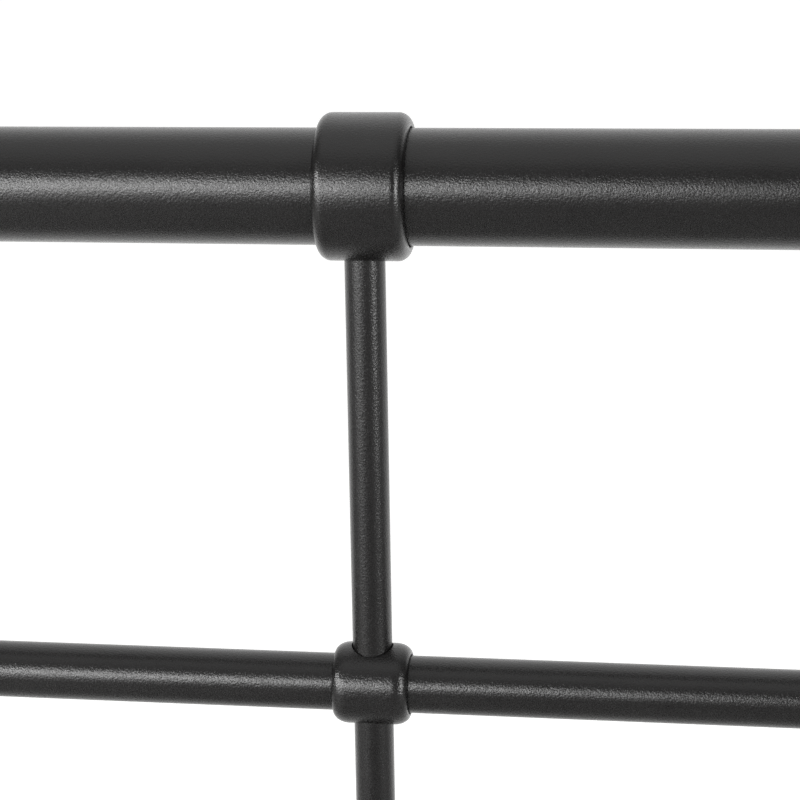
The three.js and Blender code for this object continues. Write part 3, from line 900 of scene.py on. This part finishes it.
class BED_OT_brackets(Operator):
    """Cut the plates that are welded to the posts and carry the side rails"""

    bl_idname = "bed.brackets"
    bl_label = "Rail Brackets"

    def execute(self, context):
        sheets, fasteners = context.scene.bed_sheets, context.scene.bed_fasteners
        for node in nodes_like("rail_bracket_"):
            low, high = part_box(node)
            corner, square = sheets.bracket_corner, sheets.cut_edge
            front, back = (corner, square) if "head" in node else (square, corner)
            outline = rounded([
                (low.y, low.z, front), (high.y, low.z, back), (high.y, high.z, back), (low.y, high.z, front),
            ])
            piece = new_object(node, made_mesh(node, pushed(outline, "X", low.x, high.x)))
            hole = fasteners.bolt / 2 + fasteners.bolt_gap
            centre = centre_of(node)
            through = 4 * (high.x - low.x)
            drilled(piece, [((centre.x, y, z), "X", hole, through) for side, _, y, z in bolt_places(fasteners)
                            if side * centre.x > 0 and low.y < y < high.y])
            soften(piece, sheets.plate_edge)
            finished(piece, "coat", node)
        return {"FINISHED"}


def soften(piece, width):
    """Rounds a piece's sharp edges."""
    bevel = piece.modifiers.new("soften", "BEVEL")
    bevel.width, bevel.segments, bevel.limit_method = width, 2, "ANGLE"
    bevel.angle_limit = math.radians(50)
    return evaluated(piece)


class BED_OT_slats(Operator):
    """Fold the slats from sheet and lay them across the side rails"""

    bl_idname = "bed.slats"
    bl_label = "Slats"

    def execute(self, context):
        sheets = context.scene.bed_sheets
        nodes = sorted(nodes_like("slat_"), key=lambda node: centre_of(node).y)
        low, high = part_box(nodes[0])
        half, height = (high.y - low.y) / 2, high.z - low.z
        sheet, fold, lip = sheets.slat_sheet, sheets.slat_fold, sheets.cut_edge
        inside = half - sheet
        outline = rounded([
            (half, 0, lip), (half, height, fold), (-half, height, fold), (-half, 0, lip),
            (-inside, 0, lip), (-inside, height - sheet, fold - sheet),
            (inside, height - sheet, fold - sheet), (inside, 0, lip),
        ])
        count = len(outline)
        seed = bpy.data.meshes.new("slats")
        seed.from_pydata([(-u, -v, 0) for u, v in outline], [(i, (i + 1) % count) for i in range(count)], [])
        step = (centre_of(nodes[-1]).y - centre_of(nodes[0]).y) / (len(nodes) - 1)
        values = {
            "Length": high.x - low.x,
            "Count": len(nodes),
            "First": (0, centre_of(nodes[0]).y, low.z),
            "Step": (0, step, 0),
        }
        grown("slats", seed, slats_tree(), values, "slat_coat", *nodes)
        return {"FINISHED"}


# ------------------------------------------------------------------ centre beam, legs and feet


class BED_OT_centre_beam(Operator):
    """Make the rectangular tube under the middle of the slats"""

    bl_idname = "bed.centre_beam"
    bl_label = "Centre Beam"

    def execute(self, context):
        tubes = context.scene.bed_tubes
        low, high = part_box("centre_beam")
        centre, wall = centre_of("centre_beam"), tubes.beam_wall
        outer = box_outline(high.x - low.x, high.z - low.z, tubes.beam_corner)
        inner = box_outline(high.x - low.x - 2 * wall, high.z - low.z - 2 * wall, tubes.beam_corner - wall)
        rings = [stand(outer, low.y, "Y"), stand(outer, high.y, "Y"),
                 stand(inner, high.y, "Y"), stand(inner, low.y, "Y")]
        vertices, faces = skin(rings, around=True)
        lift = Vector((centre.x, 0, centre.z))
        shape = ([lift + v for v in vertices], faces)
        finished(new_object("centre_beam", made_mesh("centre_beam", shape)), "coat", "centre_beam")
        return {"FINISHED"}


class BED_OT_beam_hangers(Operator):
    """Bend the straps that hook over the lower rails and carry the beam's ends"""

    bl_idname = "bed.beam_hangers"
    bl_label = "Beam Hangers"

    def execute(self, context):
        sheets = context.scene.bed_sheets
        sheet = sheets.hanger_sheet
        for board, end in (("headboard", 1), ("footboard", -1)):
            node = f"beam_hanger_{board[:4]}"
            low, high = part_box(node)
            rail = centre_of(f"{board}_lower_rail")
            outer = high.z - rail.z
            inner, axis = outer - sheet, abs(rail.y)
            reach = max(abs(low.y), abs(high.y)) - axis
            tip = min(abs(low.y), abs(high.y))
            fold = 1.5 * sheet
            outline = [
                *arc(axis, rail.z, outer, 0, 180, 24),
                *arc(axis - outer + 0.2 * MM - sheet / 2, low.z + sheet + sheet / 2, sheet / 2, 0, -90, 4),
                (tip, low.z + sheet), (tip, low.z),
                *arc(axis - inner - fold, low.z + fold, fold, -90, 0, 6),
                *arc(axis, rail.z, inner, 180, 0, 24),
            ]
            if reach < outer - sheet:
                raise RuntimeError(f"{node} doesn't hook over its rail")
            outline = [(end * u, v) for u, v in outline]
            piece = new_object(node, made_mesh(node, pushed(outline, "X", low.x, high.x)))
            soften(piece, sheets.plate_edge)
            finished(piece, "coat", node)
        return {"FINISHED"}


def body_holding(node):
    bodies = frame["record"]["behaviour"]["bodies"]
    return next(name for name, nodes in bodies.items() if node in nodes)


def round_place(node):
    """The (x, y) of an upright round piece, for turned()."""
    centre = centre_of(node)
    return (centre.x, centre.y, 0)


class BED_OT_centre_legs(Operator):
    """Make the flanged legs under the beam"""

    bl_idname = "bed.centre_legs"
    bl_label = "Centre Legs"

    def execute(self, context):
        tubes, feet = context.scene.bed_tubes, context.scene.bed_feet
        for node in nodes_like("centre_leg_"):
            low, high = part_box(node)
            flange = (high.x - low.x) / 2
            plug = size_of(node.replace("centre_leg", "leg_plug"))
            outer = plug.x / 2
            inner = outer - tubes.leg_wall
            thick, edge = feet.flange, feet.edge
            profile = [
                (inner, low.z), (outer, low.z), (outer, high.z - thick),
                *arc(flange - edge, high.z - thick + edge, edge, -90, 0, 4),
                *arc(flange - edge, high.z - edge, edge, 0, 90, 4),
                (inner, high.z),
            ]
            shape = turned(profile, tubes.sides, "Z", round_place(node))
            finished(new_object(node, made_mesh(node, shape)), "coat", node)
        return {"FINISHED"}


class BED_OT_leg_plugs(Operator):
    """Mould the threaded plugs in the legs' lower ends"""

    bl_idname = "bed.leg_plugs"
    bl_label = "Leg Plugs"

    def execute(self, context):
        tubes, feet = context.scene.bed_tubes, context.scene.bed_feet
        for node in nodes_like("leg_plug_"):
            low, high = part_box(node)
            rim = (high.x - low.x) / 2
            leg_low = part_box(node.replace("leg_plug", "centre_leg"))[0]
            shoulder = leg_low.z - feet.plug_gap
            stub = rim - tubes.leg_wall - feet.plug_gap
            bore, edge = feet.plug_bore, feet.edge
            profile = [
                (bore + edge, low.z),
                *arc(rim - edge, low.z + edge, edge, -90, 0, 4),
                (rim, shoulder), (stub, shoulder), (stub, high.z - edge), (stub - edge, high.z),
                (bore, high.z), (bore, low.z + edge),
            ]
            shape = turned(profile, tubes.sides, "Z", round_place(node))
            finished(new_object(node, made_mesh(node, shape)), "plug", node)
        return {"FINISHED"}


class BED_OT_levelling_feet(Operator):
    """Make the pads and their threaded stems"""

    bl_idname = "bed.levelling_feet"
    bl_label = "Levelling Feet"

    def execute(self, context):
        feet = context.scene.bed_feet
        for node in nodes_like("levelling_foot_"):
            low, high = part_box(node)
            axis = Vector(round_place(node))
            edge = feet.rim_edge
            pad = (high.x - low.x) / 2
            shoulder, seat = pad - feet.inset, feet.top - feet.nut_height - edge
            base = turned([
                (0, low.z), (pad - edge, low.z), *arc(pad - edge, low.z + edge, edge, -90, 0, 4),
                (pad, low.z + feet.rim), *arc(pad - edge, low.z + feet.rim + edge, edge, 0, 70, 4),
                (shoulder, seat), (0, seat),
            ], 64, "Z", axis)
            nut = self.nut(axis, seat, feet)
            thread = self.thread(axis, feet.stem, feet.top - 0.5 * MM, high.z, feet.thread_pitch)
            shape = joined(base, nut, thread)
            finished(new_object(node, made_mesh(node, shape)), "zinc", node, body=body_holding(node))
        return {"FINISHED"}

    def nut(self, axis, seat, feet):
        """The hexagon on top of the pad, with its upper corners broken."""
        flats = hexagon(feet.nut)
        outer = [(flats, seat), (flats, feet.top - 0.6 * MM), (cornered(flats, feet.nut_corner), feet.top)]
        profile = [*outer, (0.8 * feet.stem, feet.top)]
        return capped([[axis + point for point in stand(ring(shape, 72), z, "Z")] for shape, z in profile])

    def thread(self, axis, crest, bottom, top, pitch):
        """A rod whose surface rises and falls along a helix."""
        depth, per_pitch, sides = 0.6 * pitch, 8, 32
        count = int((top - bottom) / pitch * per_pitch)
        rings = []
        for i in range(count + 1):
            z = bottom + (top - bottom) * i / count
            lead_in = max(0.0, 1 - (top - z) / pitch)

            def radius(angle):
                flank = 2 * abs((z / pitch - angle / FULL_TURN) % 1 - 0.5)
                return crest - depth * max(flank, lead_in)

            rings.append([axis + point for point in stand(ring(radius, sides), z, "Z")])
        return capped(rings)


class BED_OT_glides(Operator):
    """Mould the plugs that the posts stand on"""

    bl_idname = "bed.glides"
    bl_label = "Post Glides"

    def execute(self, context):
        tubes, feet = context.scene.bed_tubes, context.scene.bed_feet
        for board in BOARDS:
            hoop = hoop_of(board)
            for node in nodes_like(f"{board}_glide_"):
                low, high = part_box(node)
                rim = (high.x - low.x) / 2
                shoulder = hoop.bottom - feet.plug_gap
                stub = hoop.radius - tubes.hoop_wall - feet.glide_gap
                edge = feet.glide_edge
                profile = [
                    (0, low.z), (rim - edge, low.z),
                    *arc(rim - edge, low.z + edge, edge, -90, 0, 6),
                    *arc(rim - edge, shoulder - edge, edge, 0, 90, 6),
                    (stub, shoulder), (stub, high.z - edge), (stub - edge, high.z), (0, high.z),
                ]
                shape = turned(profile, tubes.sides, "Z", round_place(node))
                finished(new_object(node, made_mesh(node, shape)), "glide", node)
        return {"FINISHED"}


# ------------------------------------------------------------------ welds and fasteners


class BED_OT_welds(Operator):
    """Run the weld beads where rails and brackets meet the posts, and legs meet their flanges"""

    bl_idname = "bed.welds"
    bl_label = "Weld Beads"

    def execute(self, context):
        radius, flange = context.scene.bed_fasteners.weld, context.scene.bed_feet.flange
        for board in BOARDS:
            beads = [self.round_rail(board, node, side, radius)
                     for rail_board, node, _ in cross_rails() if rail_board == board for side in (-1, 1)]
            end_name = board[:4]
            for side_name in ("left", "right"):
                beads += self.up_bracket(board, f"rail_bracket_{end_name}_{side_name}", radius)
            name = f"{board}_welds"
            finished(new_object(name, made_mesh(name, joined(*beads), 60)), "coat")
        legs = [self.round_leg(node, flange, radius) for node in nodes_like("centre_leg_")]
        finished(new_object("centre_leg_welds", made_mesh("centre_leg_welds", joined(*legs), 60)), "coat")
        return {"FINISHED"}

    def round_rail(self, board, node, side, radius):
        """A bead along the curve where a rail's wall meets the post."""
        hoop, centre = hoop_of(board), centre_of(node)
        rail = size_of(node).z / 2
        count = 2 * round(math.pi * rail / (1.2 * MM))
        path, outward = [], []
        for i in range(count):
            angle = FULL_TURN * i / count
            v, w = rail * math.cos(angle), rail * math.sin(angle)
            path.append(Vector((side * coped(hoop, v), centre.y + v, centre.z + w)))
            outward.append(Vector((0, math.cos(angle), math.sin(angle))))
        along = [Vector((-side, 0, 0))] * count
        return bead(path, outward, along, 0.8 * radius, closed=True)

    def up_bracket(self, board, node, radius):
        """Two upright beads, one on each face of a bracket, along the post."""
        hoop = hoop_of(board)
        low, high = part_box(node)
        inward = -1 if hoop.y > 0 else 1
        count = 2 * round((high.z - low.z) / (2.4 * MM)) + 1
        beads = []
        for x in (low.x, high.x):
            off_axis = min(abs(abs(x) - hoop.post_x), hoop.radius)
            y = hoop.y + inward * math.sqrt(hoop.radius ** 2 - off_axis ** 2)
            path = [Vector((x, y, low.z + (high.z - low.z) * i / (count - 1))) for i in range(count)]
            beads.append(bead(path, [Vector((1, 0, 0))] * count, [Vector((0, 1, 0))] * count, 0.7 * radius))
        return beads

    def round_leg(self, node, flange, radius):
        """A bead round the top of a leg, under its flange."""
        outer = size_of(node.replace("centre_leg", "leg_plug")).x / 2
        centre, top = Vector(round_place(node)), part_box(node)[1].z - flange
        count = 2 * round(math.pi * outer / (1.2 * MM))
        outward = [Vector((u, v, 0)) for u, v in ring(1.0, count)]
        path = [centre + direction * outer + Vector((0, 0, top)) for direction in outward]
        return bead(path, outward, [Vector((0, 0, 1))] * count, 0.9 * radius, closed=True)


def socket_head(diameter, height, key, depth):
    """A button head with a hexagon socket, standing on z = 0."""
    radius, sides = diameter / 2, 48
    flats = hexagon(key)
    dome = [(radius * math.cos(a), height * (0.18 + 0.82 * math.sin(a))) for a in
            (math.radians(10 * i) for i in range(7))]
    rings = [stand(ring(radius * 0.97, sides), 0, "Z")]
    rings += [stand(ring(reach, sides), z, "Z") for reach, z in dome]
    rings += [stand(ring(flats, sides), z, "Z") for z in (height * 0.98, height - depth)]
    return capped(rings)


def washer_ring(outer, inner, thickness):
    edge = 0.3 * MM
    return turned([
        (inner, 0), (outer - edge, 0), (outer, edge), (outer, thickness - edge),
        (outer - edge, thickness), (inner, thickness),
    ], 48)


def lifted(shape, height):
    vertices, faces = shape
    return [v + Vector((0, 0, height)) for v in vertices], faces


def hexagon_nut(across_flats, height, bore):
    """A nut with chamfered corners, standing on z = 0."""
    flats, sides = hexagon(across_flats), 72
    chamfer = cornered(flats, 0.53 * across_flats)
    break_height = 0.12 * across_flats / 2
    outer = [(chamfer, 0), (flats, break_height), (flats, height - break_height), (chamfer, height)]
    rings = [stand(ring(shape, sides), z, "Z") for shape, z in [*outer, (bore, height), (bore, 0)]]
    return skin(rings, around=True)


def shank(radius, bottom, top):
    tip = 0.6 * MM
    return turned([(0, bottom), (radius - tip, bottom), (radius, bottom + tip), (radius, top), (0, top)], 32)


class BED_OT_rail_bolts(Operator):
    """Bolt the side rails to their brackets: button heads outside, thin nuts inside"""

    bl_idname = "bed.rail_bolts"
    bl_label = "Rail Bolts"

    def execute(self, context):
        fasteners = context.scene.bed_fasteners
        outer_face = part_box("side_rail_right")[1].x
        inner_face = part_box("rail_bracket_head_right")[0].x
        stack = outer_face - inner_face
        radius = fasteners.bolt / 2
        washer = washer_ring(fasteners.washer / 2, radius + 0.2 * MM, fasteners.washer_thickness)
        button = socket_head(fasteners.head, fasteners.head_height, fasteners.key, fasteners.key_depth)
        head = lifted(button, fasteners.washer_thickness)
        stem = shank(radius, -stack - fasteners.nut_height - 0.6 * MM, fasteners.washer_thickness + 0.5 * MM)
        places = bolt_places(fasteners)
        copies("rail_bolts", joined(washer, head, stem),
               [(Vector((side * outer_face, y, z)), (side, 0, 0)) for side, _, y, z in places], "oxide")
        copies("rail_nuts", hexagon_nut(fasteners.nut, fasteners.nut_height, radius),
               [(Vector((side * inner_face, y, z)), (-side, 0, 0)) for side, _, y, z in places], "oxide")
        return {"FINISHED"}


class BED_OT_screws(Operator):
    """Screw the slats to the side rails, and the beam to its hangers and legs"""

    bl_idname = "bed.screws"
    bl_label = "Screws"

    def execute(self, context):
        fasteners = context.scene.bed_fasteners
        radius = fasteners.screw / 2
        slats = nodes_like("slat_")
        low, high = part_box(slats[0])
        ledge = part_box("side_rail_right")[0].z
        head = socket_head(fasteners.screw_head, fasteners.screw_head_height,
                           fasteners.screw_key, fasteners.screw_key_depth)
        long_screw = joined(head, shank(radius, ledge - high.z - fasteners.screw_past, 0.3 * MM))
        copies("slat_screws", long_screw, [
            (Vector((side * (high.x - fasteners.screw_setback), centre_of(slat).y, high.z)), (0, 0, 1))
            for slat in slats for side in (-1, 1)
        ], "oxide")
        beam_head = hexagon_nut(fasteners.beam_head, fasteners.beam_head_height, 0.5 * MM)
        short_screw = joined(beam_head, shank(radius, -fasteners.beam_screw, 0.3 * MM))
        places = []
        for node in nodes_like("centre_leg_"):
            centre, under = centre_of(node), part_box(node)[1].z - context.scene.bed_feet.flange
            for step in (-fasteners.flange_screw, fasteners.flange_screw):
                places.append((Vector((centre.x, centre.y + step, under)), (0, 0, -1)))
        for node in nodes_like("beam_hanger_"):
            low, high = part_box(node)
            end = 1 if low.y > 0 else -1
            tip = min(abs(low.y), abs(high.y))
            places.append((Vector((0, end * (tip + fasteners.hanger_screw), low.z)), (0, 0, -1)))
        copies("beam_screws", short_screw, places, "oxide")
        return {"FINISHED"}


# ------------------------------------------------------------------ stage


def area_light(name, aim, azimuth, elevation, distance, width, height, brightness):
    """A soft box that faces aim. Azimuth is in degrees to the right of the bed's foot direction."""
    turn, rise = math.radians(azimuth), math.radians(elevation)
    away = Vector((math.sin(turn) * math.cos(rise), -math.cos(turn) * math.cos(rise), math.sin(rise)))
    lamp = bpy.data.lights.new(name, "AREA")
    lamp.shape, lamp.size, lamp.size_y = "RECTANGLE", width, height
    lamp.energy = brightness * math.pi * width * height
    light = bpy.data.objects.new(name, lamp)
    light.location = aim + away * distance
    light.rotation_euler = away.to_track_quat("Z", "Y").to_euler()
    light.visible_camera = False
    bpy.context.scene.collection.objects.link(light)
    return light


def studio_world():
    """A dim room with a lit backdrop behind the headboard and a lit ceiling."""
    world = bpy.data.worlds.new("white_studio")
    world.use_nodes = True
    tree = world.node_tree
    tree.nodes.clear()
    direction = add(tree, "ShaderNodeTexCoord").outputs["Generated"]
    parts = add(tree, "ShaderNodeSeparateXYZ", {"Vector": direction}).outputs
    glow = ROOM_GLOW
    for part, first, full, gain in (("Y", 0.25, 0.9, 1.1), ("Z", 0.5, 1.0, 0.8)):
        rise = add(tree, "ShaderNodeMapRange", {
            "Value": parts[part],
            "From Min": first,
            "From Max": full,
            "To Max": gain,
        }, interpolation_type="SMOOTHSTEP").outputs[0]
        glow = add(tree, "ShaderNodeMath", {0: glow, 1: rise}, operation="ADD").outputs[0]
    seen = add(tree, "ShaderNodeLightPath").outputs["Is Camera Ray"]
    strength = add(tree, "ShaderNodeMix", {"Factor": seen, "A": glow, "B": 1.0}, data_type="FLOAT")
    light = add(tree, "ShaderNodeBackground", {"Strength": strength.outputs["Result"]})
    light.inputs["Color"].default_value = (1, 1, 1, 1)
    add(tree, "ShaderNodeOutputWorld", {"Surface": light.outputs[0]})
    return world


class BED_OT_stage(Operator):
    """Lay the floor, set the studio light and place the camera"""

    bl_idname = "bed.stage"
    bl_label = "Stage"

    def execute(self, context):
        stage = context.scene.bed_stage
        corners = [(FLOOR_REACH * u, FLOOR_REACH * v, 0) for u, v in ((-1, -1), (1, -1), (1, 1), (-1, 1))]
        sheet = bpy.data.meshes.new("floor")
        sheet.from_pydata(corners, [], [(0, 1, 2, 3)])
        floor = new_object("floor", sheet)
        floor.data.materials.append(matt_floor(stage))
        context.scene.world = studio_world()
        context.scene.view_settings.view_transform = "Standard"
        crossing = centre_of(f"headboard_top_collar_{VIEWED_SPINDLE}")
        area_light("key_softbox", crossing, -29, 8.8, 2.2, 2.3, 0.38, 18.5)
        area_light("low_fill", crossing, -38, -8, 2.2, 1.4, 0.5, 4.0)
        area_light("left_strip", crossing, -61, 10.5, 2.0, 0.2, 0.4, 60.0)
        area_light("right_strip", crossing, 56, 4, 1.6, 0.26, 0.8, 22.0)
        self.camera(context.scene, stage, crossing)
        return {"FINISHED"}

    def camera(self, scene, stage, crossing):
        lens = bpy.data.cameras.new("camera")
        lens.lens, lens.sensor_width = stage.lens, 36.0
        lens.shift_x, lens.shift_y = stage.shift_x, stage.shift_y
        camera = bpy.data.objects.new("camera", lens)
        camera.location = crossing + Vector((stage.camera_side, -stage.camera_back, stage.camera_rise))
        look = Euler((QUARTER_TURN - stage.pitch, 0, stage.yaw)).to_quaternion()
        roll = Euler((0, 0, stage.roll)).to_quaternion()
        camera.rotation_mode = "QUATERNION"
        camera.rotation_quaternion = look @ roll
        scene.collection.objects.link(camera)
        scene.camera = camera


# ------------------------------------------------------------------ panel and registration

OPERATORS = (
    BED_OT_hoops,
    BED_OT_cross_rails,
    BED_OT_spindles,
    BED_OT_top_collars,
    BED_OT_small_collars,
    BED_OT_side_rails,
    BED_OT_brackets,
    BED_OT_slats,
    BED_OT_centre_beam,
    BED_OT_beam_hangers,
    BED_OT_centre_legs,
    BED_OT_leg_plugs,
    BED_OT_levelling_feet,
    BED_OT_glides,
    BED_OT_welds,
    BED_OT_rail_bolts,
    BED_OT_screws,
    BED_OT_stage,
)


class BED_PT_frame(Panel):
    """Lists the bed's operators and settings"""

    bl_idname = "BED_PT_frame"
    bl_label = "Bed Frame"
    bl_space_type = "VIEW_3D"
    bl_region_type = "UI"
    bl_category = "Bed Frame"

    def draw(self, context):
        for operator in OPERATORS:
            self.layout.operator(operator.bl_idname)
        for name, group in SETTINGS.items():
            box = self.layout.box()
            for field in group.__annotations__:
                box.prop(getattr(context.scene, name), field)


CLASSES = (*SETTINGS.values(), *OPERATORS, BED_PT_frame)


def register():
    for one in CLASSES:
        bpy.utils.register_class(one)
    for name, group in SETTINGS.items():
        setattr(bpy.types.Scene, name, PointerProperty(type=group))


def unregister():
    for name in SETTINGS:
        delattr(bpy.types.Scene, name)
    for one in reversed(CLASSES):
        bpy.utils.unregister_class(one)


def main():
    register()
    for operator in OPERATORS:
        getattr(bpy.ops.bed, operator.bl_idname.split(".")[1])()


if __name__ == "__main__":
    main()
